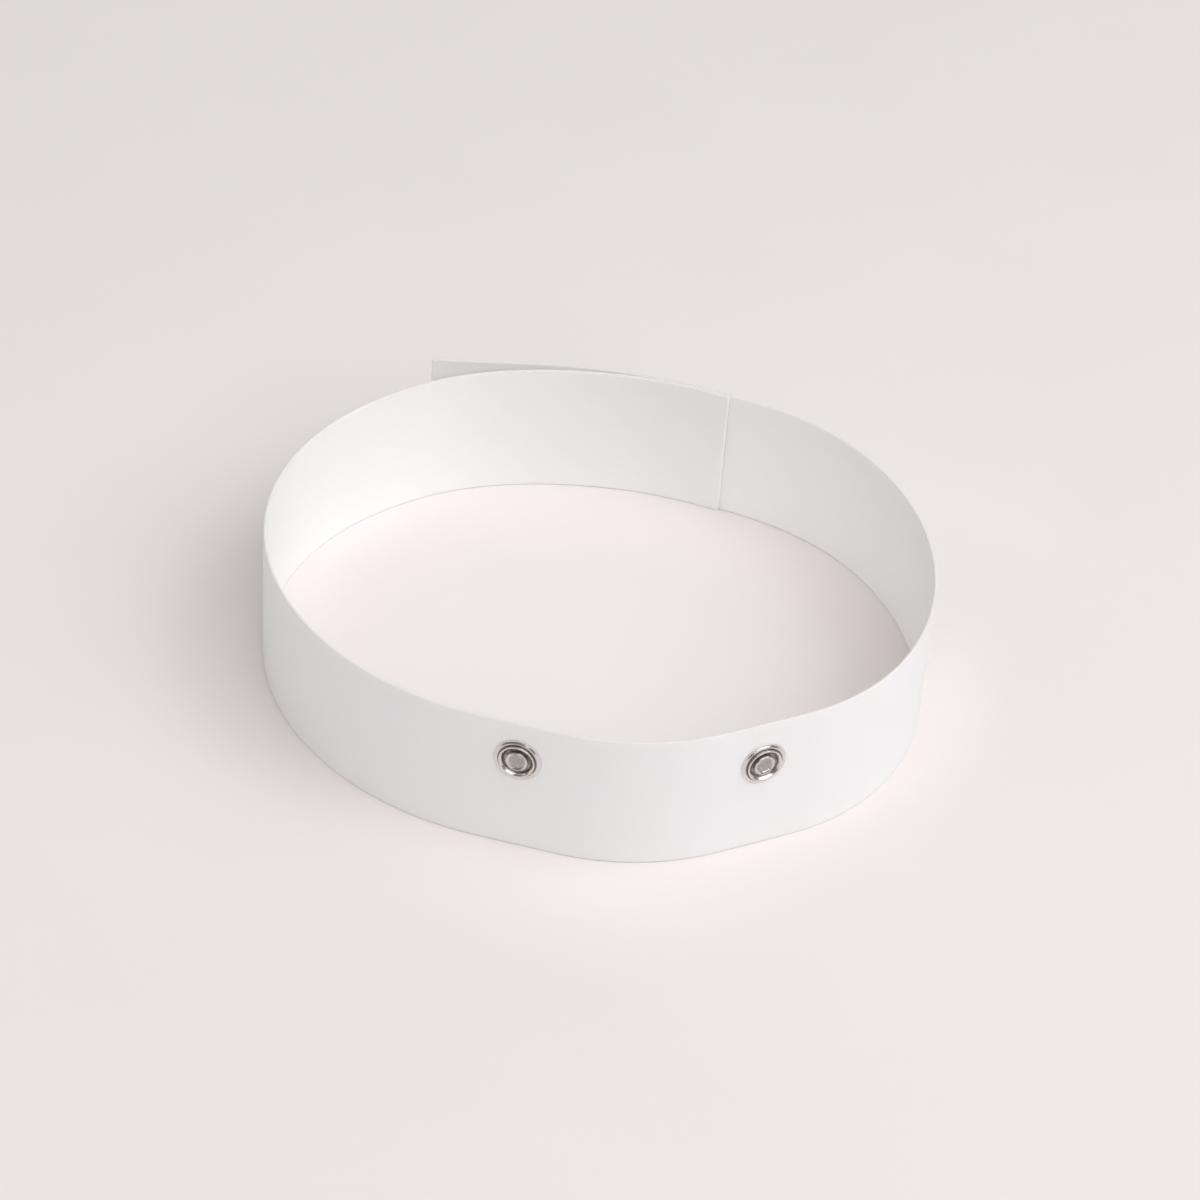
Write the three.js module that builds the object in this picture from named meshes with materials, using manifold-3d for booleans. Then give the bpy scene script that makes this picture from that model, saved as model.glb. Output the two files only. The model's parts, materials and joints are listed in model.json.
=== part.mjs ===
// Clerical collar: one strip of white plastic, curled into an oval loop that stands on its long edge,
// with its ends lapped at the back and two press snaps on the front.
// Millimetres, +Z up. The front with the snaps faces -Y, and the origin lies on the surface that the
// collar stands on, under the middle of its outline.
import * as THREE from "three";
import { mergeVertices } from "three/addons/utils/BufferGeometryUtils.js";
import Module from "manifold-3d";

// Strip
const STRIP_LENGTH = 464;
const STRIP_HEIGHT = 30;
const WALL = 0.6;
const STEP_LENGTH = 2;

// Loop, from the strip's inner end at the back, round the left side, the front and the right side until
// the strip passes behind its own start. at is the share of the loop's girth, and bend how sharply the
// strip bends there. The bends are weighed against each other: the whole turn is shared out among them.
const START_HEADING = 163.1;
const LOOP_BENDS = [
  { at: 0, bend: 0.4 },
  { at: 0.08, bend: 0.72 },
  { at: 0.17, bend: 1.03 },
  { at: 0.28, bend: 1.03 },
  { at: 0.38, bend: 0.95 },
  { at: 0.47, bend: 0.92 },
  { at: 0.58, bend: 1.26 },
  { at: 0.7, bend: 1.32 },
  { at: 0.79, bend: 0.9 },
  { at: 0.88, bend: 0.91 },
  { at: 0.95, bend: 1.19 },
  { at: 1, bend: 0.4 },
];

// Lap: the rest of the strip follows the outside of its own inner layer. The gap between the layers
// grows evenly at first, and then quickly where the free end springs away.
const LAP_LENGTH = 61.5;
const LAP_GAP = 0.4;
const LAP_SPREAD = 2.4;
const FREE_END_LIFT = 4.9;
const LIFT_POWER = 6;

// Snaps. along is counted from the middle of the strip's length, as a share of the snaps' spacing, and
// drop from the top edge, as a share of the strip's height. The strip stays flat under a flange and
// takes up its bend again over the length of FLAT_EASE.
const SNAP_SPACING = 48.2;
const SNAPS = [
  { side: "left", along: -0.388, drop: 0.293 },
  { side: "right", along: 0.612, drop: 0.323 },
];
const FLAT_EASE = 7;

// Rivet: a plain head on the strip's inner face and a hollow post, whose rim is rolled over in the
// mouth of the socket.
const HEAD_RADIUS = 4.4;
const HEAD_THICKNESS = 0.5;
const POST_RADIUS = 1.6;
const POST_WALL = 0.3;
const RIM_OVERHANG = 0.5;
const RIM_FLARE = 0.25;
const BORE_DEPTH = 0.9;

// Socket, from its mouth outwards: a groove round the post, a raised ring and a flange.
const GROOVE_WIDTH = 1;
const RING_WIDTH = 0.65;
const RING_HEIGHT = 0.45;
const FLANGE_WIDTH = 0.95;
const FLANGE_THICKNESS = 0.3;
const FLOOR_THICKNESS = 0.2;
const VALLEY_DEPTH = 0.08;
const EDGE_ROUND = 0.12;

// Clearances: between faces that rest on each other, round the post in its holes, and from the rim up
// to the top of the ring.
const SEAT_GAP = 0.2;
const POST_GAP = 0.25;
const RIM_DROP = 0.05;

const RIM_RADIUS = POST_RADIUS + RIM_OVERHANG;
const HOLE_RADIUS = POST_RADIUS + POST_GAP;
const MOUTH_RADIUS = RIM_RADIUS + GROOVE_WIDTH;
const RING_RADIUS = MOUTH_RADIUS + RING_WIDTH;
const FLANGE_RADIUS = RING_RADIUS + FLANGE_WIDTH;
const GIRTH = STRIP_LENGTH - LAP_LENGTH;

const ROUND_SIDES = 32;
const DRILL_OVERRUN = 1;

const wasm = await Module();
wasm.setup();

// A closed geometry as a solid, with its shared corners merged.
function solidFrom(geometry) {
  const bare = geometry.clone();
  bare.deleteAttribute("normal");
  bare.deleteAttribute("uv");
  const merged = mergeVertices(bare, 1e-4);
  return new wasm.Manifold(
    new wasm.Mesh({
      numProp: 3,
      vertProperties: merged.attributes.position.array,
      triVerts: new Uint32Array(merged.index.array),
    }),
  );
}

// A solid as a geometry with flat shading.
function geometryFrom(solid) {
  const mesh = solid.getMesh();
  const indexed = new THREE.BufferGeometry();
  indexed.setAttribute("position", new THREE.BufferAttribute(mesh.vertProperties, 3));
  indexed.setIndex(new THREE.BufferAttribute(mesh.triVerts, 1));
  const geometry = indexed.toNonIndexed();
  geometry.computeVertexNormals();
  return geometry;
}

// Runs from 0 to 1 with level ends.
function ease(share) {
  const t = THREE.MathUtils.clamp(share, 0, 1);
  return t * t * (3 - 2 * t);
}

// The bend of the table at a share of the loop's girth.
function tableBend(at) {
  const next = Math.max(1, LOOP_BENDS.findIndex((row) => row.at >= at));
  const before = LOOP_BENDS[next - 1];
  const after = LOOP_BENDS[next];
  return THREE.MathUtils.mapLinear(at, before.at, after.at, before.bend, after.bend);
}

// A snap's distance along the strip from its inner end.
function snapDistance(snap) {
  return STRIP_LENGTH / 2 + snap.along * SNAP_SPACING;
}

// The table's bend, but none under a snap's flange.
function bendAt(distance) {
  let bend = tableBend(distance / GIRTH);
  for (const snap of SNAPS) {
    const away = Math.abs(distance - snapDistance(snap));
    bend *= ease((away - FLANGE_RADIUS) / FLAT_EASE);
  }
  return bend;
}

// The way out of the loop, square to a heading.
function outward(heading) {
  return new THREE.Vector2(Math.sin(heading), -Math.cos(heading));
}

// The loop's middle line in plan: a place and a heading at the start and after each step.
function bentLoop() {
  const steps = Math.round(GIRTH / STEP_LENGTH);
  const length = GIRTH / steps;
  const bends = Array.from({ length: steps + 1 }, (_, i) => bendAt((i / steps) * GIRTH));
  const turns = bends.slice(1).map((bend, i) => (bend + bends[i]) / 2);
  const wholeTurn = 2 * Math.PI - Math.atan2(LAP_SPREAD, LAP_LENGTH);
  const scale = wholeTurn / turns.reduce((sum, turn) => sum + turn, 0);
  const stations = [{ point: new THREE.Vector2(), heading: THREE.MathUtils.degToRad(START_HEADING) }];
  for (const turn of turns) {
    const last = stations[stations.length - 1];
    const heading = last.heading + turn * scale;
    const between = (last.heading + heading) / 2;
    const point = new THREE.Vector2(Math.cos(between), Math.sin(between)).multiplyScalar(length);
    stations.push({ point: point.add(last.point), heading });
  }
  return stations;
}

// The loop closes where it passes its own inner end at LAP_GAP. What it misses that by is shared out
// evenly along the loop, as in a surveyor's closed traverse.
function closedLoop() {
  const stations = bentLoop();
  const steps = stations.length - 1;
  const missing = outward(stations[0].heading).multiplyScalar(WALL + LAP_GAP).sub(stations[steps].point);
  return stations.map(({ point, heading }, i) => ({
    point: point.clone().addScaledVector(missing, i / steps),
    heading,
  }));
}

// A place and heading at a distance along the loop.
function stationAt(loop, distance) {
  const steps = loop.length - 1;
  const share = THREE.MathUtils.clamp(distance / GIRTH, 0, 1) * steps;
  const first = Math.min(Math.floor(share), steps - 1);
  const before = loop[first];
  const after = loop[first + 1];
  return {
    point: before.point.clone().lerp(after.point, share - first),
    heading: THREE.MathUtils.lerp(before.heading, after.heading, share - first),
  };
}

// The lap's middle line, which starts one step past the loop's end.
function lapOver(loop) {
  const steps = Math.round(LAP_LENGTH / STEP_LENGTH);
  return Array.from({ length: steps }, (_, i) => {
    const t = (i + 1) / steps;
    const inner = stationAt(loop, t * LAP_LENGTH);
    const away = WALL + LAP_GAP + LAP_SPREAD * t + FREE_END_LIFT * t ** LIFT_POWER;
    const slope = (LAP_SPREAD + FREE_END_LIFT * LIFT_POWER * t ** (LIFT_POWER - 1)) / LAP_LENGTH;
    return {
      point: inner.point.addScaledVector(outward(inner.heading), away),
      heading: inner.heading - Math.atan(slope),
    };
  });
}

const loop = closedLoop();
const route = [...loop, ...lapOver(loop)];

// The strip: a flat block as long as the strip, with a slice for each step of the route, bent along the
// route, and with a round hole for each rivet's post.
function bandGeometry() {
  const steps = route.length - 1;
  const bent = new THREE.BoxGeometry(steps, WALL, STRIP_HEIGHT, steps, 1, 1);
  const corners = bent.attributes.position;
  for (let i = 0; i < corners.count; i++) {
    const { point, heading } = route[Math.round(corners.getX(i) + steps / 2)];
    const place = point.clone().addScaledVector(outward(heading), -corners.getY(i));
    corners.setXYZ(i, place.x, place.y, corners.getZ(i) + STRIP_HEIGHT / 2);
  }
  let band = solidFrom(bent);
  for (const snap of SNAPS) {
    const length = WALL + 2 * DRILL_OVERRUN;
    const drill = new THREE.CylinderGeometry(HOLE_RADIUS, HOLE_RADIUS, length, ROUND_SIDES);
    drill.translate(0, -WALL / 2, 0);
    drill.applyMatrix4(seatOf(snap).matrixWorld);
    band = band.subtract(solidFrom(drill));
  }
  return geometryFrom(band);
}

// A group on a snap's seat, the spot on the strip's outer face under its centre. Its own +Y points
// out of the strip.
function seatOf(snap) {
  const { point, heading } = stationAt(loop, snapDistance(snap));
  const facing = outward(heading);
  const face = point.addScaledVector(facing, WALL / 2);
  const group = new THREE.Group();
  group.position.set(face.x, face.y, STRIP_HEIGHT * (1 - snap.drop));
  group.quaternion.setFromUnitVectors(
    new THREE.Vector3(0, 1, 0),
    new THREE.Vector3(facing.x, facing.y, 0),
  );
  group.updateMatrixWorld(true);
  return group;
}

// A round shape turned from a profile of radius and height above the strip's outer face.
function turned(profile) {
  const points = profile.map(({ r, h }) => new THREE.Vector2(r, h));
  return new THREE.LatheGeometry(points, ROUND_SIDES);
}

// The rivet: head, post and rolled rim in one, with a blind bore that flares at its mouth.
function rivetGeometry() {
  const headTop = -WALL - SEAT_GAP;
  const headUnder = headTop - HEAD_THICKNESS;
  const rimUnder = 2 * SEAT_GAP + FLOOR_THICKNESS;
  const rimTop = SEAT_GAP + FLANGE_THICKNESS + RING_HEIGHT - RIM_DROP;
  const boreFloor = rimTop - BORE_DEPTH;
  const bore = POST_RADIUS - POST_WALL;
  return turned([
    { r: 0, h: headUnder },
    { r: HEAD_RADIUS - EDGE_ROUND, h: headUnder },
    { r: HEAD_RADIUS, h: headUnder + EDGE_ROUND },
    { r: HEAD_RADIUS, h: headTop },
    { r: POST_RADIUS, h: headTop },
    { r: POST_RADIUS, h: rimUnder },
    { r: RIM_RADIUS, h: rimUnder },
    { r: RIM_RADIUS, h: rimTop - EDGE_ROUND },
    { r: RIM_RADIUS - EDGE_ROUND, h: rimTop },
    { r: bore + RIM_FLARE, h: rimTop },
    { r: bore, h: rimTop - RIM_FLARE },
    { r: bore, h: boreFloor },
    { r: 0, h: boreFloor },
  ]);
}

// The socket: an open ring from the post's hole out to the flange's rounded edge.
function socketGeometry() {
  const under = SEAT_GAP;
  const floorTop = under + FLOOR_THICKNESS;
  const flangeTop = under + FLANGE_THICKNESS;
  const ringTop = flangeTop + RING_HEIGHT;
  const profile = [
    { r: HOLE_RADIUS, h: under },
    { r: FLANGE_RADIUS - EDGE_ROUND, h: under },
    { r: FLANGE_RADIUS, h: (under + flangeTop) / 2 },
    { r: FLANGE_RADIUS - EDGE_ROUND, h: flangeTop },
    { r: RING_RADIUS + FLANGE_WIDTH / 2, h: flangeTop },
    { r: RING_RADIUS + EDGE_ROUND, h: flangeTop - VALLEY_DEPTH },
    { r: RING_RADIUS, h: flangeTop },
    { r: RING_RADIUS, h: ringTop - EDGE_ROUND },
    { r: RING_RADIUS - EDGE_ROUND, h: ringTop },
    { r: MOUTH_RADIUS + EDGE_ROUND, h: ringTop },
    { r: MOUTH_RADIUS, h: ringTop - EDGE_ROUND },
    { r: MOUTH_RADIUS, h: floorTop },
    { r: HOLE_RADIUS, h: floorTop },
  ];
  return turned([...profile, profile[0]]);
}

function satinPlastic() {
  return new THREE.MeshStandardMaterial({ color: 0xe9e7e3, roughness: 0.42, metalness: 0 });
}

function nickelPlate() {
  return new THREE.MeshStandardMaterial({ color: 0xb9b1a8, roughness: 0.22, metalness: 1 });
}

function namedMesh(name, geometry, material) {
  const mesh = new THREE.Mesh(geometry, material);
  mesh.name = name;
  return mesh;
}

const collar = new THREE.Group();
collar.add(namedMesh("collar_band", bandGeometry(), satinPlastic()));
for (const snap of SNAPS) {
  const seat = seatOf(snap);
  seat.add(namedMesh(`snap_socket_${snap.side}`, socketGeometry(), nickelPlate()));
  seat.add(namedMesh(`snap_rivet_${snap.side}`, rivetGeometry(), nickelPlate()));
  collar.add(seat);
}

const middle = new THREE.Box3().setFromObject(collar, true).getCenter(new THREE.Vector3());
collar.position.set(-middle.x, -middle.y, 0);

export default collar;
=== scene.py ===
"""Clerical collar: a white plastic strip curled into a lapped loop, with two press snaps on its front."""
import json
from functools import partial
from math import cos, radians, sin

import bmesh
import bpy
from mathutils import Matrix, Vector


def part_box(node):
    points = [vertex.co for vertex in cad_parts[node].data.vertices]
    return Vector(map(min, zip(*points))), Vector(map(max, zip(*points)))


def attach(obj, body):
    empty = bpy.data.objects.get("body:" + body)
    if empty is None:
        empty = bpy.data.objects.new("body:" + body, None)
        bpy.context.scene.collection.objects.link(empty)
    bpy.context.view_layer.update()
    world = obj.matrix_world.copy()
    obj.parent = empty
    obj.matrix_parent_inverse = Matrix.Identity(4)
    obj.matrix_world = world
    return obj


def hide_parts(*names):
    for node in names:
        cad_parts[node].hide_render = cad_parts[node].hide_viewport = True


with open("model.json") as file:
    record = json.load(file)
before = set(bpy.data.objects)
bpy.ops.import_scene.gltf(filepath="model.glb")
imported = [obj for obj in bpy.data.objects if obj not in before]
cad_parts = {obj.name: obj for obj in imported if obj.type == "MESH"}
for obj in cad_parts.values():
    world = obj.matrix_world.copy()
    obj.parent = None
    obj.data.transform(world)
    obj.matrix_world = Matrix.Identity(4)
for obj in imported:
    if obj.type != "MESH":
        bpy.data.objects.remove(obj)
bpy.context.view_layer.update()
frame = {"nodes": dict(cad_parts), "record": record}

# The strip
# One length of white polypropylene sheet, 0.6 mm thick, die-cut flat with softly rounded edges, punched
# for the two snaps and curled into a loop whose ends lap at the back. It is cut flat here too, and a
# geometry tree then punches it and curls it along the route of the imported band.
MM = 0.001
CORNER_ROUND = 0.5 * MM
CORNER_STEPS = 4
DIE_ROUND = 0.2 * MM
DIE_STEPS = 3
SLICE = 1 * MM
EDGE_ROWS = [0.5 * MM, 1.5 * MM, 5 * MM]
HOLE_RADIUS = 1.85 * MM
HOLE_SIDES = 48
PUNCH_STROKE = 4 * MM
SHARP_EDGE = radians(40)
SAME_PLACE = 0.01 * MM
SORT_WEIGHTS = (1, 10, 100)
SNAP_SIDES = ["left", "right"]

# The strip's inner end leans outwards, to within 0.2 mm of the outer layer. Both columns are millimetres:
# the distance from the inner end along the strip, and how far out the strip lies there.
LEAN = [
    {"along": 0, "out": 0.25},
    {"along": 9, "out": 0.58},
    {"along": 17, "out": 0.8},
    {"along": 30, "out": 0.6},
    {"along": 55, "out": 0.5},
    {"along": 80, "out": 0},
]


def in_use(sockets, key):
    """A node's socket by its name, or by its number among the ones in use."""
    shown = [socket for socket in sockets if socket.enabled]
    return shown[key] if isinstance(key, int) else next(s for s in shown if s.name == key)


def node(tree, kind, inputs=None, outlet=0, **settings):
    """Adds a node with its settings and links, and gives an outlet. An input is a value or an outlet."""
    made = tree.nodes.new(kind)
    for name, value in settings.items():
        setattr(made, name, value)
    for key, value in (inputs or {}).items():
        socket = in_use(made.inputs, key)
        if isinstance(value, bpy.types.NodeSocket):
            tree.links.new(value, socket)
        else:
            socket.default_value = value
    return in_use(made.outputs, outlet) if made.outputs else None


def geometry_tree(name, sizes):
    """A geometry tree with named inputs, and the outlets of those inputs."""
    tree = bpy.data.node_groups.new(name, "GeometryNodeTree")
    tree.interface.new_socket("Geometry", in_out="OUTPUT", socket_type="NodeSocketGeometry")
    for label, kind in {"Geometry": "Geometry", **sizes}.items():
        tree.interface.new_socket(label, in_out="INPUT", socket_type="NodeSocket" + kind)
    return tree, tree.nodes.new("NodeGroupInput").outputs


def finish_tree(tree, surface, material):
    """Ends a tree: smooth faces with their sharp edges kept, all copies real, the material set."""
    add = partial(node, tree)
    angle = add("GeometryNodeInputMeshEdgeAngle")
    soft = add("FunctionNodeCompare", {0: angle, 1: SHARP_EDGE}, operation="LESS_THAN")
    smooth = add("GeometryNodeSetShadeSmooth", {"Geometry": surface, "Shade Smooth": True})
    creased = add("GeometryNodeSetShadeSmooth", {"Geometry": smooth, "Shade Smooth": soft}, domain="EDGE")
    real = add("GeometryNodeRealizeInstances", {"Geometry": creased})
    coated = add("GeometryNodeSetMaterial", {"Geometry": real, "Material": material})
    add("NodeGroupOutput", {"Geometry": coated})


def made_by(tree, name, start, sizes):
    """Runs a geometry tree on a mesh and gives the result as an object with a plain mesh."""
    piece = bpy.data.objects.new(name, start)
    bpy.context.scene.collection.objects.link(piece)
    modifier = piece.modifiers.new(tree.name, "NODES")
    modifier.node_group = tree
    for socket in tree.interface.items_tree:
        if socket.in_out == "INPUT" and socket.name in sizes:
            modifier[socket.identifier] = sizes[socket.name]
    graph = bpy.context.evaluated_depsgraph_get()
    plain = bpy.data.meshes.new_from_object(
        piece.evaluated_get(graph), preserve_all_data_layers=True, depsgraph=graph
    )
    piece.modifiers.clear()
    piece.data = plain
    while plain.materials[0] is None:
        plain.materials.pop(index=0)  # the starting mesh's own slot, which is empty
    plain.name = name
    return piece


def linear(colour):
    """An sRGB hex colour as linear red, green, blue and alpha."""
    shares = [int(colour[i : i + 2], 16) / 255 for i in (1, 3, 5)]
    return [c / 12.92 if c <= 0.04045 else ((c + 0.055) / 1.055) ** 2.4 for c in shares] + [1]


def strip_route(band):
    """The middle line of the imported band's top edge, from the inner end to the free end, and its wall."""
    solid = bmesh.new()
    solid.from_mesh(band.data)
    bmesh.ops.remove_doubles(solid, verts=solid.verts, dist=SAME_PLACE)
    top = max(corner.co.z for corner in solid.verts) - SAME_PLACE
    across = [e for e in solid.edges if all(v.co.z > top for v in e.verts) and e.calc_length() < SLICE]
    crossing_at = {corner: edge for edge in across for corner in edge.verts}

    def beside(edge):
        corners = [link.other_vert(v) for v in edge.verts for link in v.link_edges]
        return {crossing_at[corner] for corner in corners if corner in crossing_at} - {edge}

    ends = [edge for edge in across if len(beside(edge)) == 1]
    order = [min(ends, key=lambda edge: edge.verts[0].co.y)]
    while onward := beside(order[-1]) - set(order):
        order.append(onward.pop())
    points = [(edge.verts[0].co + edge.verts[1].co) / 2 for edge in order]
    return [Vector((point.x, point.y, 0)) for point in points], order[0].calc_length()


def lean_at(along):
    """How far the strip leans outwards at a distance from its inner end."""
    for row, onward in zip(LEAN, LEAN[1:]):
        if along < onward["along"] * MM:
            share = (along / MM - row["along"]) / (onward["along"] - row["along"])
            eased = share * share * (3 - 2 * share)
            return (row["out"] + (onward["out"] - row["out"]) * eased) * MM
    return 0


def leant(points):
    """The route with the inner end leaning outwards, close to the layer outside it."""
    headings = [(onward - point).normalized() for point, onward in zip(points, points[1:])]
    moved = []
    walked = 0
    for i, point in enumerate(points):
        outwards = headings[min(i, len(headings) - 1)].cross(Vector((0, 0, 1)))
        walked += (point - points[max(i - 1, 0)]).length
        moved.append(point + outwards * lean_at(walked))
    return moved


route_points, wall = strip_route(frame["nodes"]["collar_band"])
route_points = leant(route_points)
strip_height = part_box("collar_band")[1].z
strip_length = sum((b - a).length for a, b in zip(route_points, route_points[1:]))


def on_floor(place):
    """The spot straight below a place, at the height of the floor."""
    return Vector((place.x, place.y, 0))


def snap_seat(side):
    """The spot on the strip's outer face under a snap's centre, and the way out of the strip there."""
    mounts = {mount["name"]: mount for mount in frame["record"]["mounts"]}
    facing = Vector(mounts["snap_" + side]["axis"])
    corners = [v.co for v in frame["nodes"]["snap_socket_" + side].data.vertices]
    centre = sum(corners, Vector()) / len(corners)
    nearest = min(route_points, key=lambda point: (point - on_floor(centre)).length)
    off_face = (centre - nearest).dot(facing) - wall / 2
    return centre - facing * off_face, facing


def distance_along(place):
    """How far along the strip a place lies, from the strip's inner end."""
    walked = 0
    found = []
    for a, b in zip(route_points, route_points[1:]):
        step = b - a
        share = min(1, max(0, (place - a).dot(step) / step.length_squared))
        found.append(((a + step * share - place).length, walked + share * step.length))
        walked += step.length
    return min(found)[1]


seats = {side: snap_seat(side) for side in SNAP_SIDES}
hole_places = {
    side: Vector((distance_along(on_floor(seat)), 0, seat.z)) for side, (seat, _) in seats.items()
}


def flat_blank():
    """The die-cut blank: along +X from the inner end, its inner face to +Y, standing on its long edge."""
    blank = bmesh.new()
    size = Matrix.Diagonal((strip_length, wall, strip_height, 1))
    place = Matrix.Translation((strip_length / 2, 0, strip_height / 2))
    bmesh.ops.create_cube(blank, size=1, matrix=place @ size)
    rounding = partial(bmesh.ops.bevel, blank, offset_type="OFFSET", profile=0.5, affect="EDGES")
    corners = [e for e in blank.edges if abs((e.verts[0].co - e.verts[1].co).y) > wall / 2]
    rounding(geom=corners, offset=CORNER_ROUND, segments=CORNER_STEPS)
    rims = [e for e in blank.edges if e.calc_face_angle() > SHARP_EDGE]
    rounding(geom=rims, offset=DIE_ROUND, segments=DIE_STEPS)
    rows = EDGE_ROWS + [strip_height / 2] + [strip_height - row for row in reversed(EDGE_ROWS)]
    slices = round(strip_length / SLICE)
    columns = [EDGE_ROWS[0], strip_length - EDGE_ROWS[0]]
    columns += [i * strip_length / slices for i in range(1, slices)]
    cuts = [(Vector((0, 0, row)), Vector((0, 0, 1))) for row in rows]
    cuts += [(Vector((column, 0, 0)), Vector((1, 0, 0))) for column in columns]
    for point, square_to in cuts:
        everything = [*blank.verts, *blank.edges, *blank.faces]
        bmesh.ops.bisect_plane(blank, geom=everything, plane_co=point, plane_no=square_to)
    mesh = bpy.data.meshes.new("flat_blank")
    blank.to_mesh(mesh)
    return mesh


def route_curve():
    """The route as a smooth curve, which the tree reads."""
    curve = bpy.data.curves.new("strip_route", "CURVE")
    curve.dimensions = "3D"
    line = curve.splines.new("POLY")
    line.points.add(len(route_points) - 1)
    for slot, point in zip(line.points, route_points):
        slot.co = (*point, 1)
    holder = bpy.data.objects.new("strip_route", curve)
    bpy.context.scene.collection.objects.link(holder)
    return holder


def curling_tree():
    """Punches the flat blank for the rivets, and curls it along the route."""
    tree, sizes = geometry_tree(
        "Punch and curl",
        {
            "Route": "Object",
            "Strip length": "Float",
            "Wall": "Float",
            "Hole radius": "Float",
            "Left hole": "Vector",
            "Right hole": "Vector",
            "Plastic": "Material",
        },
    )
    add = partial(node, tree)
    punch = add(
        "GeometryNodeMeshCylinder",
        {"Vertices": HOLE_SIDES, "Radius": sizes["Hole radius"], "Depth": PUNCH_STROKE},
    )
    punched = add("GeometryNodeMeshBoolean", {"Mesh 1": sizes["Geometry"]}, operation="DIFFERENCE")
    for hole in ("Left hole", "Right hole"):
        placing = {"Geometry": punch, "Translation": sizes[hole], "Rotation": (radians(90), 0, 0)}
        tree.links.new(add("GeometryNodeTransform", placing), punched.node.inputs["Mesh 2"])
    flat = add("GeometryNodeInputPosition")
    marked = add(
        "GeometryNodeStoreNamedAttribute",
        {"Geometry": punched, "Name": "flat", "Value": flat},
        data_type="FLOAT_VECTOR",
    )
    along = add("ShaderNodeSeparateXYZ", {0: flat})
    inward, height = along.node.outputs["Y"], along.node.outputs["Z"]
    share = add("ShaderNodeMath", {0: along, 1: sizes["Strip length"]}, operation="DIVIDE")
    route = add("GeometryNodeObjectInfo", {"Object": sizes["Route"]}, "Geometry")
    smooth = add("GeometryNodeCurveSplineType", {"Curve": route}, spline_type="CATMULL_ROM")
    sampling = {"Curves": smooth, "Factor": share}
    middle = add("GeometryNodeSampleCurve", sampling, "Position", mode="FACTOR")
    heading = middle.node.outputs["Tangent"]
    across = add("ShaderNodeVectorMath", {0: (0, 0, 1), 1: heading}, operation="CROSS_PRODUCT")
    beside = add("ShaderNodeVectorMath", {0: across, 1: inward, 2: middle}, operation="MULTIPLY_ADD")
    up = add("ShaderNodeCombineXYZ", {"Z": height})
    curled = add("GeometryNodeSetPosition", {"Geometry": marked, "Position": beside, "Offset": up})

    # The cuts and the punch leave points and faces in an order that changes from run to run
    place = add("GeometryNodeInputNamedAttribute", {"Name": "flat"}, data_type="FLOAT_VECTOR")
    rank = add("ShaderNodeVectorMath", {0: place, 1: SORT_WEIGHTS}, "Value", operation="DOT_PRODUCT")
    ordered = add("GeometryNodeSortElements", {"Geometry": curled, "Sort Weight": rank}, domain="POINT")
    ordered = add("GeometryNodeSortElements", {"Geometry": ordered, "Sort Weight": rank}, domain="FACE")
    finish_tree(tree, ordered, sizes["Plastic"])
    return tree


def satin_polypropylene():
    """Extruded polypropylene sheet from matt rollers: white, satin, and it lets a little light through."""
    material = bpy.data.materials.new("satin_polypropylene")
    material.use_nodes = True
    tree = material.node_tree
    shader = tree.nodes["Principled BSDF"]
    shader.inputs["IOR"].default_value = 1.49
    shader.inputs["Subsurface Weight"].default_value = 1
    shader.inputs["Subsurface Radius"].default_value = (1, 0.98, 0.95)
    shader.inputs["Subsurface Scale"].default_value = 0.4 * MM
    add = partial(node, tree)
    metres = add("ShaderNodeAttribute", outlet="Vector", attribute_name="flat")
    flat = add("ShaderNodeVectorMath", {0: metres, "Scale": 1 / MM}, operation="SCALE")

    # Clouding in the melt, 22 mm across and hardly visible
    cloud = add("ShaderNodeTexNoise", {"Vector": flat, "Scale": 1 / 22, "Detail": 3, "Roughness": 0.5})
    whites = {"Factor": cloud, "A": linear("#F9F8F3"), "B": linear("#FCFBF6")}
    sheet = add("ShaderNodeMix", whites, data_type="RGBA")

    # The die leaves the two long edges matt, and they are painted a little greyer than the rolled faces:
    # painted shade that keeps the lit top edge from coming out brighter than the faces, and darkens the
    # bottom edge along the floor. Fully so in the outermost 0.05 mm, and fading out over the next 0.25 mm
    half_height = strip_height / MM / 2
    height = add("ShaderNodeSeparateXYZ", {0: flat}).node.outputs["Z"]
    off_middle = add("ShaderNodeMath", {0: height, 1: half_height}, operation="SUBTRACT")
    off_middle = add("ShaderNodeMath", {0: off_middle}, operation="ABSOLUTE")
    edge = add(
        "ShaderNodeMapRange",
        {"Value": off_middle, "From Min": half_height - 0.3, "From Max": half_height - 0.05},
    )
    # The greyer colour on both long edges is painted shade
    shades = {"Factor": edge, "A": sheet, "B": linear("#E6E3DE")}
    tree.links.new(add("ShaderNodeMix", shades, data_type="RGBA"), shader.inputs["Base Color"])

    # Lines that the extruder's lips leave along the strip, 0.8 mm apart, and the grain of the matt
    # rollers, which is 0.1 mm on the real sheet and is drawn at 0.35 mm so that it shows
    stretched = add("ShaderNodeMapping", {"Vector": flat, "Scale": (1 / 60, 1, 1 / 0.8)})
    lines = add("ShaderNodeTexNoise", {"Vector": stretched, "Scale": 1, "Detail": 2})
    grain = add("ShaderNodeTexNoise", {"Vector": flat, "Scale": 1 / 0.35, "Detail": 2})
    rolled = add("ShaderNodeMapRange", {"Value": lines, "To Min": 0.34, "To Max": 0.44})
    roughness = add("ShaderNodeMix", {"Factor": edge, "A": rolled, "B": 0.65})
    tree.links.new(roughness, shader.inputs["Roughness"])
    lined = add("ShaderNodeBump", {"Height": lines, "Distance": 0.006 * MM})
    grained = add("ShaderNodeBump", {"Height": grain, "Distance": 0.003 * MM, "Normal": lined})
    tree.links.new(grained, shader.inputs["Normal"])
    return material


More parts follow.
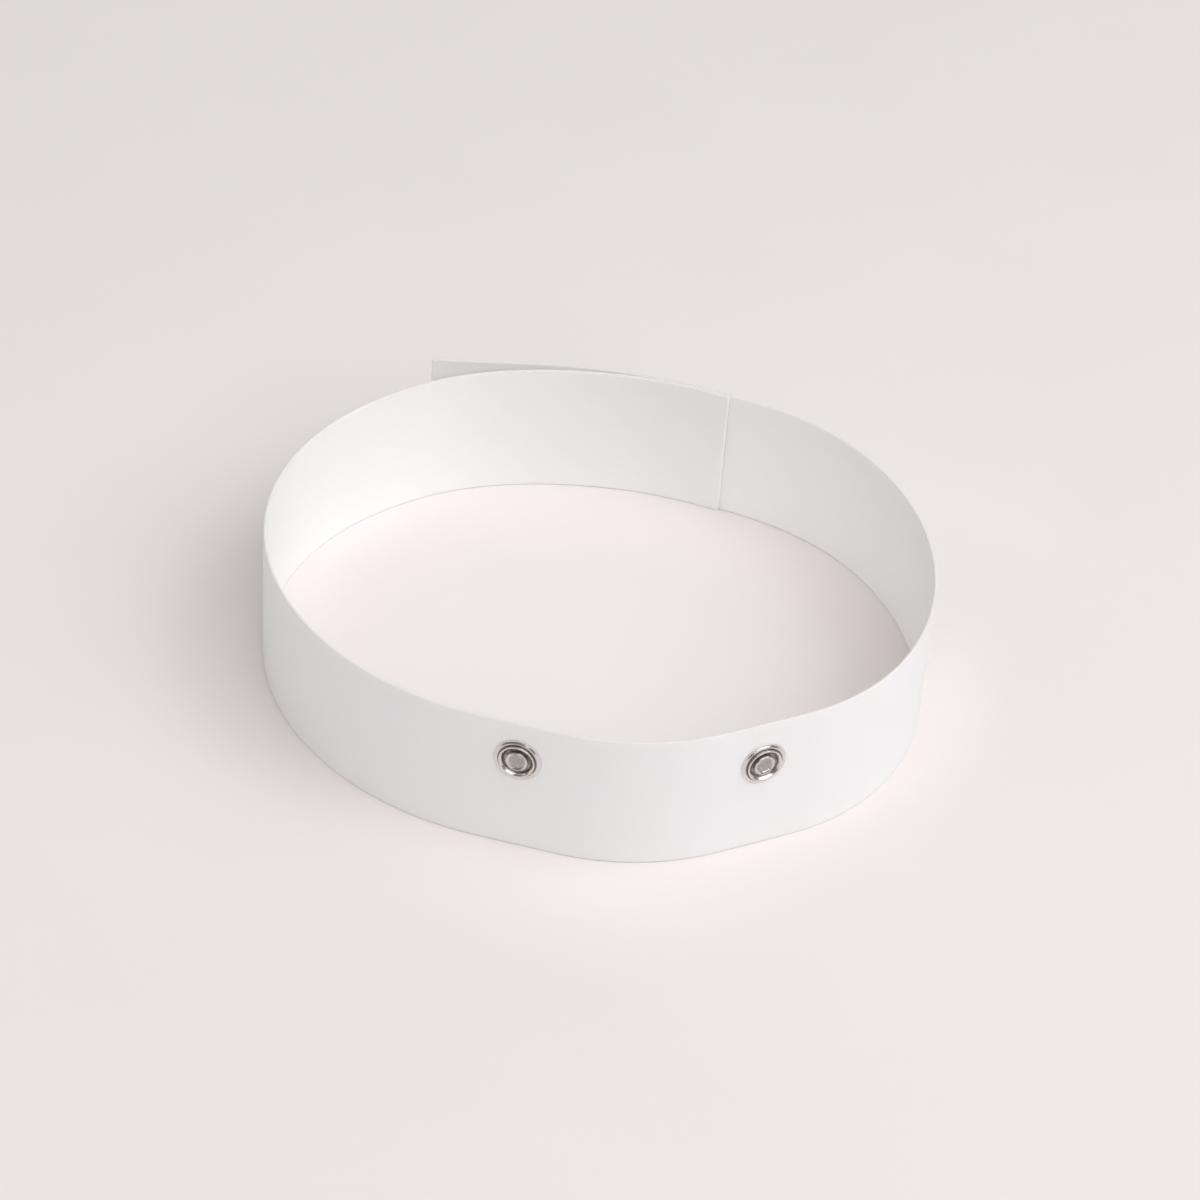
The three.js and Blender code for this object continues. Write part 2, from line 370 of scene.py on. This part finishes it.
curling = curling_tree()
route_object = route_curve()
strip = made_by(
    curling,
    "strip",
    flat_blank(),
    {
        "Route": route_object,
        "Strip length": strip_length,
        "Wall": wall,
        "Hole radius": HOLE_RADIUS,
        "Left hole": hole_places["left"],
        "Right hole": hole_places["right"],
        "Plastic": satin_polypropylene(),
    },
)
bpy.data.objects.remove(route_object)
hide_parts("collar_band")
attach(strip, "root")

# The sockets
# Each snap's outer half is a cup pressed from thin brass and nickel-plated: a flange with a rolled rim, a
# raised ring, and inside it the mouth that takes the stud. It lies on the strip's outer face.
SNAP_TURNS = 96
ROUND_STEPS = 5
SOCKET_DENT_DEPTH = 0.03 * MM
SOCKET_DENT_SIZE = 1.8 * MM
FULLY_DENTED = 0.4 * MM

# The profile's radius, its height above the strip's outer face and its rounding, in millimetres
SOCKET_PROFILE = [
    {"r": 1.88, "h": 0, "round": 0},
    {"r": 4.7, "h": 0, "round": 0.03},
    {"r": 4.7, "h": 0.1, "round": 0.05},
    {"r": 4.45, "h": 0.14, "round": 0.15},
    {"r": 4.1, "h": 0.41, "round": 0.25},
    {"r": 3.86, "h": 0.39, "round": 0.12},
    {"r": 3.7, "h": 0.16, "round": 0.06},
    {"r": 3.62, "h": 0.16, "round": 0.04},
    {"r": 3.58, "h": 0.84, "round": 0.12},
    {"r": 3.3, "h": 0.84, "round": 0.12},
    {"r": 3.02, "h": 0.56, "round": 0.25},
    {"r": 2.8, "h": 0.2, "round": 0.25},
    {"r": 2.66, "h": 0.06, "round": 0.1},
    {"r": 1.88, "h": 0.06, "round": 0},
]

# How much of the plate is painted dark, as painted shade in its hollows, at each radius in millimetres
PAINTED_SHADE_REACH = 5
PAINTED_SHADE = [
    {"r": 0, "share": 0.6},
    {"r": 1.45, "share": 0.55},
    {"r": 1.72, "share": 0.1},
    {"r": 2.05, "share": 0.1},
    {"r": 2.22, "share": 0.85},
    {"r": 2.66, "share": 0.85},
    {"r": 2.95, "share": 0.3},
    {"r": 3.1, "share": 0.05},
    {"r": 3.5, "share": 0.05},
    {"r": 3.6, "share": 0.6},
    {"r": 3.7, "share": 0.6},
    {"r": 3.85, "share": 0.05},
    {"r": 5, "share": 0},
]


def turning_tree():
    """Rounds a profile of radius and height, turns it about its axis, and sets it on its seat."""
    tree, sizes = geometry_tree(
        "Turn and seat",
        {
            "Turns": "Int",
            "Dent depth": "Float",
            "Dent size": "Float",
            "Seed": "Float",
            "Seat": "Vector",
            "Facing": "Vector",
            "Metal": "Material",
        },
    )
    add = partial(node, tree)
    outline = add("GeometryNodeMeshToCurve", {"Mesh": sizes["Geometry"]})
    rounding = add("GeometryNodeInputNamedAttribute", {"Name": "round"}, data_type="FLOAT")
    rounded = add(
        "GeometryNodeFilletCurve",
        {"Curve": outline, "Radius": rounding, "Limit Radius": True, "Count": ROUND_STEPS},
        mode="POLY",
    )
    section = add(
        "GeometryNodeStoreNamedAttribute",
        {"Geometry": rounded, "Name": "turned", "Value": add("GeometryNodeInputPosition")},
        data_type="FLOAT_VECTOR",
    )
    steps = add("ShaderNodeMath", {0: sizes["Turns"], 1: 1}, operation="ADD")
    line = add("GeometryNodeCurvePrimitiveLine")
    path = add("GeometryNodeResampleCurve", {"Curve": line, "Count": steps})
    marked = add(
        "GeometryNodeStoreNamedAttribute",
        {"Geometry": path, "Name": "share", "Value": add("GeometryNodeSplineParameter")},
        data_type="FLOAT",
    )
    swept = add("GeometryNodeCurveToMesh", {"Curve": marked, "Profile Curve": section})
    share = add("GeometryNodeInputNamedAttribute", {"Name": "share"}, data_type="FLOAT")
    angle = add("ShaderNodeMath", {0: share, 1: radians(360)}, operation="MULTIPLY")
    flat = add("GeometryNodeInputNamedAttribute", {"Name": "turned"}, data_type="FLOAT_VECTOR")
    place = add("ShaderNodeVectorRotate", {"Vector": flat, "Angle": angle}, rotation_type="Z_AXIS")
    turned = add("GeometryNodeSetPosition", {"Geometry": swept, "Position": place})
    closed = add("GeometryNodeMergeByDistance", {"Geometry": turned, "Distance": 0.001 * MM})
    outward = add("GeometryNodeFlipFaces", {"Mesh": closed})
    fineness = add("ShaderNodeMath", {0: 1, 1: sizes["Dent size"]}, operation="DIVIDE")
    dents = add("ShaderNodeTexNoise", {"W": sizes["Seed"], "Scale": fineness}, noise_dimensions="4D")
    height = add("ShaderNodeSeparateXYZ", {0: flat}).node.outputs["Z"]
    rising = {"Value": height, "From Max": FULLY_DENTED, "To Max": sizes["Dent depth"]}
    standing = add("ShaderNodeMapRange", rising)
    centred = add("ShaderNodeMapRange", {"Value": dents, "To Min": -1, "To Max": 1})
    dent = add("ShaderNodeMath", {0: centred, 1: standing}, operation="MULTIPLY")
    normal = add("GeometryNodeInputNormal")
    push = add("ShaderNodeVectorMath", {0: normal, "Scale": dent}, operation="SCALE")
    pressed = add("GeometryNodeSetPosition", {"Geometry": outward, "Offset": push})
    aim = add("FunctionNodeAlignRotationToVector", {"Vector": sizes["Facing"]}, axis="Z")
    seating = {"Geometry": pressed, "Translation": sizes["Seat"], "Rotation": aim}
    seated = add("GeometryNodeTransform", seating)
    finish_tree(tree, seated, sizes["Metal"])
    return tree


def profile_mesh(rows, closed):
    """A profile of radius and height above the strip's outer face, as a line of vertices."""
    count = len(rows)
    links = [(i, (i + 1) % count) for i in range(count if closed else count - 1)]
    mesh = bpy.data.meshes.new("profile")
    mesh.from_pydata([(row["r"] * MM, 0, row["h"] * MM) for row in rows], links, [])
    rounding = mesh.attributes.new("round", "FLOAT", "POINT")
    rounding.data.foreach_set("value", [row["round"] * MM for row in rows])
    return mesh


def nickel_plated_brass():
    """Thin brass, pressed and bright nickel-plated: a warm grey mirror, with painted shade in its recesses.
    """
    material = bpy.data.materials.new("nickel_plated_brass")
    material.use_nodes = True
    tree = material.node_tree
    shader = tree.nodes["Principled BSDF"]
    shader.inputs["Metallic"].default_value = 1
    add = partial(node, tree)
    metres = add("ShaderNodeAttribute", outlet="Vector", attribute_name="turned")
    turned = add("ShaderNodeVectorMath", {0: metres, "Scale": 1 / MM}, operation="SCALE")
    radius = add("ShaderNodeSeparateXYZ", {0: turned})
    height = radius.node.outputs["Z"]
    place = add("ShaderNodeTexCoord", outlet="Object")

    # The groove, the valley outside the ring and the end of the post are painted dark and made rougher:
    # painted shade for the deep hollows of the real socket, which this shallow cup lacks. The painted
    # shade is patchy, in flecks 0.45 mm across, and only on what stands outside the strip
    share = add("ShaderNodeMath", {0: radius, 1: PAINTED_SHADE_REACH}, operation="DIVIDE")
    ramp = add("ShaderNodeValToRGB", {0: share})
    stops = ramp.node.color_ramp.elements
    for row, stop in zip(PAINTED_SHADE, [stops[0], *(stops.new(0.5) for _ in PAINTED_SHADE[2:]), stops[len(PAINTED_SHADE) - 1]]):
        stop.position = row["r"] / PAINTED_SHADE_REACH
        stop.color = (row["share"], row["share"], row["share"], 1)
    flecking = {"Vector": place, "Scale": 1 / (0.45 * MM), "Detail": 4, "Roughness": 0.6}
    fleck = add("ShaderNodeTexNoise", flecking)
    patchy = add("ShaderNodeMapRange", {"Value": fleck, "From Min": 0.3, "From Max": 0.6, "To Min": 0.55})
    outside = add("ShaderNodeMapRange", {"Value": height, "From Min": -0.1, "From Max": 0})
    painted_shade = add("ShaderNodeMath", {0: ramp, 1: patchy}, operation="MULTIPLY")
    painted_shade = add("ShaderNodeMath", {0: painted_shade, 1: outside}, operation="MULTIPLY")

    # Slight differences in the bright plate, 1.5 mm across
    cloud = add("ShaderNodeTexNoise", {"Vector": place, "Scale": 1 / (1.5 * MM), "Detail": 3})
    plates = {"Factor": cloud, "A": linear("#DDD9D4"), "B": linear("#E9E6E2")}
    bright = add("ShaderNodeMix", plates, data_type="RGBA")
    # The dark colour is painted shade in the hollows
    shades = {"Factor": painted_shade, "A": bright, "B": linear("#5A5049")}
    tree.links.new(add("ShaderNodeMix", shades, data_type="RGBA"), shader.inputs["Base Color"])
    roughness = add("ShaderNodeMapRange", {"Value": painted_shade, "To Min": 0.2, "To Max": 0.45})
    tree.links.new(roughness, shader.inputs["Roughness"])

    # Rings 0.08 mm apart, left by the pressing tool
    rings = add("ShaderNodeTexNoise", {"Vector": turned, "Scale": 1 / 0.08, "Detail": 1})
    ringed = add("ShaderNodeBump", {"Height": rings, "Distance": 0.0008 * MM})
    pitted = add("ShaderNodeBump", {"Height": fleck, "Distance": 0.02 * MM, "Normal": ringed})
    tree.links.new(pitted, shader.inputs["Normal"])
    return material


turning = turning_tree()
nickel = nickel_plated_brass()
for number, (side, (seat, facing)) in enumerate(seats.items()):
    socket = made_by(
        turning,
        "socket_" + side,
        profile_mesh(SOCKET_PROFILE, closed=True),
        {
            "Turns": SNAP_TURNS,
            "Dent depth": SOCKET_DENT_DEPTH,
            "Dent size": SOCKET_DENT_SIZE,
            "Seed": float(number),
            "Seat": seat,
            "Facing": facing,
            "Metal": nickel,
        },
    )
    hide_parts("snap_socket_" + side)
    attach(socket, "root")

# The rivets
# Each snap's inner half, of the same plated brass, is a plain domed cap on the strip's inner face. Its
# hollow post passes through the strip and the socket, and its end is rolled over in the mouth, which
# clamps the three together and leaves the end dented. The same tree turns it.
RIVET_DENT_DEPTH = 0.2 * MM
RIVET_DENT_SIZE = 0.9 * MM
RIVET_PROFILE = [
    {"r": 0, "h": -1.22, "round": 0},
    {"r": 2.4, "h": -1.19, "round": 1.5},
    {"r": 4.1, "h": -1.02, "round": 0.8},
    {"r": 4.4, "h": -0.78, "round": 0.18},
    {"r": 4.38, "h": -0.6, "round": 0.05},
    {"r": 1.6, "h": -0.6, "round": 0},
    {"r": 1.6, "h": 0.1, "round": 0.02},
    {"r": 2.1, "h": 0.12, "round": 0.1},
    {"r": 2.2, "h": 0.62, "round": 0.2},
    {"r": 1.96, "h": 0.78, "round": 0.18},
    {"r": 1.66, "h": 0.64, "round": 0.12},
    {"r": 1.5, "h": 0.5, "round": 0.12},
    {"r": 0, "h": 0.44, "round": 0},
]
for number, (side, (seat, facing)) in enumerate(seats.items()):
    rivet = made_by(
        turning,
        "rivet_" + side,
        profile_mesh(RIVET_PROFILE, closed=False),
        {
            "Turns": SNAP_TURNS,
            "Dent depth": RIVET_DENT_DEPTH,
            "Dent size": RIVET_DENT_SIZE,
            "Seed": float(number) + 0.5,
            "Seat": seat,
            "Facing": facing,
            "Metal": nickel,
        },
    )
    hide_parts("snap_rivet_" + side)
    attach(rivet, "root")

# The floor
# A smooth pale sheet of studio card that the collar stands on, larger than any view of it.
FLOOR_SIDE = 6


def studio_card():
    """Matt coated card: a warm off-white with a faint mottle, 40 mm across."""
    material = bpy.data.materials.new("studio_card")
    material.use_nodes = True
    tree = material.node_tree
    shader = tree.nodes["Principled BSDF"]
    shader.inputs["Roughness"].default_value = 0.75
    add = partial(node, tree)
    place = add("ShaderNodeTexCoord", outlet="Object")
    mottle = add("ShaderNodeTexNoise", {"Vector": place, "Scale": 1 / (40 * MM), "Detail": 2})
    shades = {"Factor": mottle, "A": linear("#ECE6E3"), "B": linear("#EFE9E7")}
    tree.links.new(add("ShaderNodeMix", shades, data_type="RGBA"), shader.inputs["Base Color"])
    return material


floor_mesh = bpy.data.meshes.new("floor")
half = FLOOR_SIDE / 2
floor_corners = [(-half, -half, 0), (half, -half, 0), (half, half, 0), (-half, half, 0)]
floor_mesh.from_pydata(floor_corners, [], [(0, 1, 2, 3)])
floor_mesh.materials.append(studio_card())
floor = bpy.data.objects.new("floor", floor_mesh)
bpy.context.scene.collection.objects.link(floor)

# The light
# One very large soft box stands high in front of the collar and to the right. Three weaker ones stand
# lower, to the right, behind and to the left, and the room is dim. The boxes turn in degrees from the
# front to the right, and rise in degrees from the floor; sides are metres and powers are watts.
SOFT_BOXES = [
    {"name": "key", "turn": 36, "rise": 55, "side": 1.7, "power": 17},
    {"name": "right", "turn": 90, "rise": 45, "side": 1, "power": 4.9},
    {"name": "back", "turn": 180, "rise": 25, "side": 1, "power": 3},
    {"name": "left", "turn": 270, "rise": 40, "side": 1, "power": 3.8},
]
BOX_DISTANCE = 1.4
ROOM_STRENGTH = 0.2

for box in SOFT_BOXES:
    lamp = bpy.data.lights.new(box["name"], "AREA")
    lamp.shape = "SQUARE"
    lamp.size = box["side"]
    lamp.energy = box["power"]
    lamp.color = linear("#FAFAFF")[:3]
    turn, rise = radians(box["turn"]), radians(box["rise"])
    toward = Vector((sin(turn) * cos(rise), -cos(turn) * cos(rise), sin(rise)))
    holder = bpy.data.objects.new(box["name"], lamp)
    aimed = (-toward).to_track_quat("-Z", "Y").to_matrix().to_4x4()
    holder.matrix_world = Matrix.Translation(toward * BOX_DISTANCE) @ aimed
    bpy.context.scene.collection.objects.link(holder)

room = bpy.data.worlds.new("room")
room.use_nodes = True
room.node_tree.nodes["Background"].inputs["Color"].default_value = linear("#FFFCFA")
room.node_tree.nodes["Background"].inputs["Strength"].default_value = ROOM_STRENGTH
bpy.context.scene.world = room
bpy.context.scene.view_settings.view_transform = "Standard"

# The camera
# It looks down at the collar's front through a long lens, from more than five times the collar's width
# away, so the loop shows little perspective, and it leans a few degrees to one side.
AIM = Vector((0.78, 19.38, 0)) * MM
CAMERA_DISTANCE = 732.9 * MM
CAMERA_PITCH = radians(37.89)
CAMERA_ROLL = radians(-4.44)
LENS_MM = 105
SENSOR_MM = 36
NEAREST_SEEN = 0.05
FARTHEST_SEEN = 20

camera_data = bpy.data.cameras.new("camera")
camera_data.lens = LENS_MM
camera_data.sensor_width = SENSOR_MM
camera_data.clip_start = NEAREST_SEEN
camera_data.clip_end = FARTHEST_SEEN
forward = Vector((0, cos(CAMERA_PITCH), -sin(CAMERA_PITCH)))
level_down = Vector((0, -sin(CAMERA_PITCH), -cos(CAMERA_PITCH)))
rightward = cos(CAMERA_ROLL) * Vector((1, 0, 0)) + sin(CAMERA_ROLL) * level_down
upward = -(cos(CAMERA_ROLL) * level_down - sin(CAMERA_ROLL) * Vector((1, 0, 0)))
camera = bpy.data.objects.new("camera", camera_data)
turned_axes = Matrix((rightward, upward, -forward)).transposed().to_4x4()
camera.matrix_world = Matrix.Translation(AIM - forward * CAMERA_DISTANCE) @ turned_axes
bpy.context.scene.collection.objects.link(camera)
bpy.context.scene.camera = camera

bpy.context.view_layer.update()
